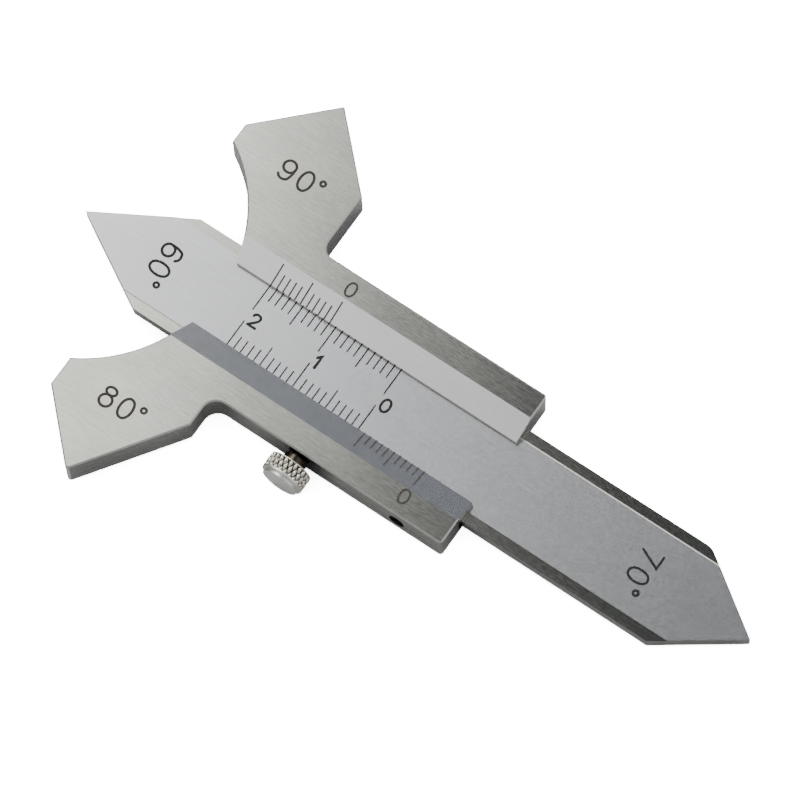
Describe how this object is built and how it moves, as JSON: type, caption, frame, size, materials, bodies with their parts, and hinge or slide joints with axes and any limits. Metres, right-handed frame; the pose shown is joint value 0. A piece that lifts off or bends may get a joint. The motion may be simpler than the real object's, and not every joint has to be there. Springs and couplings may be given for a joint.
{
  "type": "weld gauge",
  "caption": "Vernier weld gauge: a pointed graduated bar slides in a winged body with angled corners and flat feet, and a knurled screw locks it.",
  "frame": {"origin": "On the flat back of the body, on the centre line of the bar, below the zero line of the main scale in the rest pose.", "axes": "+X along the bar towards its 70 degree point, +Y across the bar towards the 90 degree wing, +Z out of the graduated face"},
  "size_m": [0.1004, 0.059, 0.0058],
  "materials": {
    "satin_steel": "satin",
    "ground_steel": "brushed",
    "spring_steel": "rolled",
    "screw_steel": "blackened",
    "turned_steel": "turned and knurled"
  },
  "bodies": {
    "body": {"slider_body": "ground_steel", "brake_strip": "spring_steel", "grub_screw": "screw_steel"},
    "bar": {"graduated_bar": "satin_steel"},
    "lock": {"lock_screw": "turned_steel"}
  },
  "joints": [
    {"name": "bar_slide", "type": "slide", "parent": "body", "child": "bar", "axis": [1, 0, 0], "range_m": [-0.011, 0.03]},
    {"name": "lock_turn", "type": "hinge", "parent": "body", "child": "lock", "pos_m": [-0.00425, -0.0117, 0.0021], "axis": [0, -1, 0], "range_deg": [0, 360]}
  ]
}
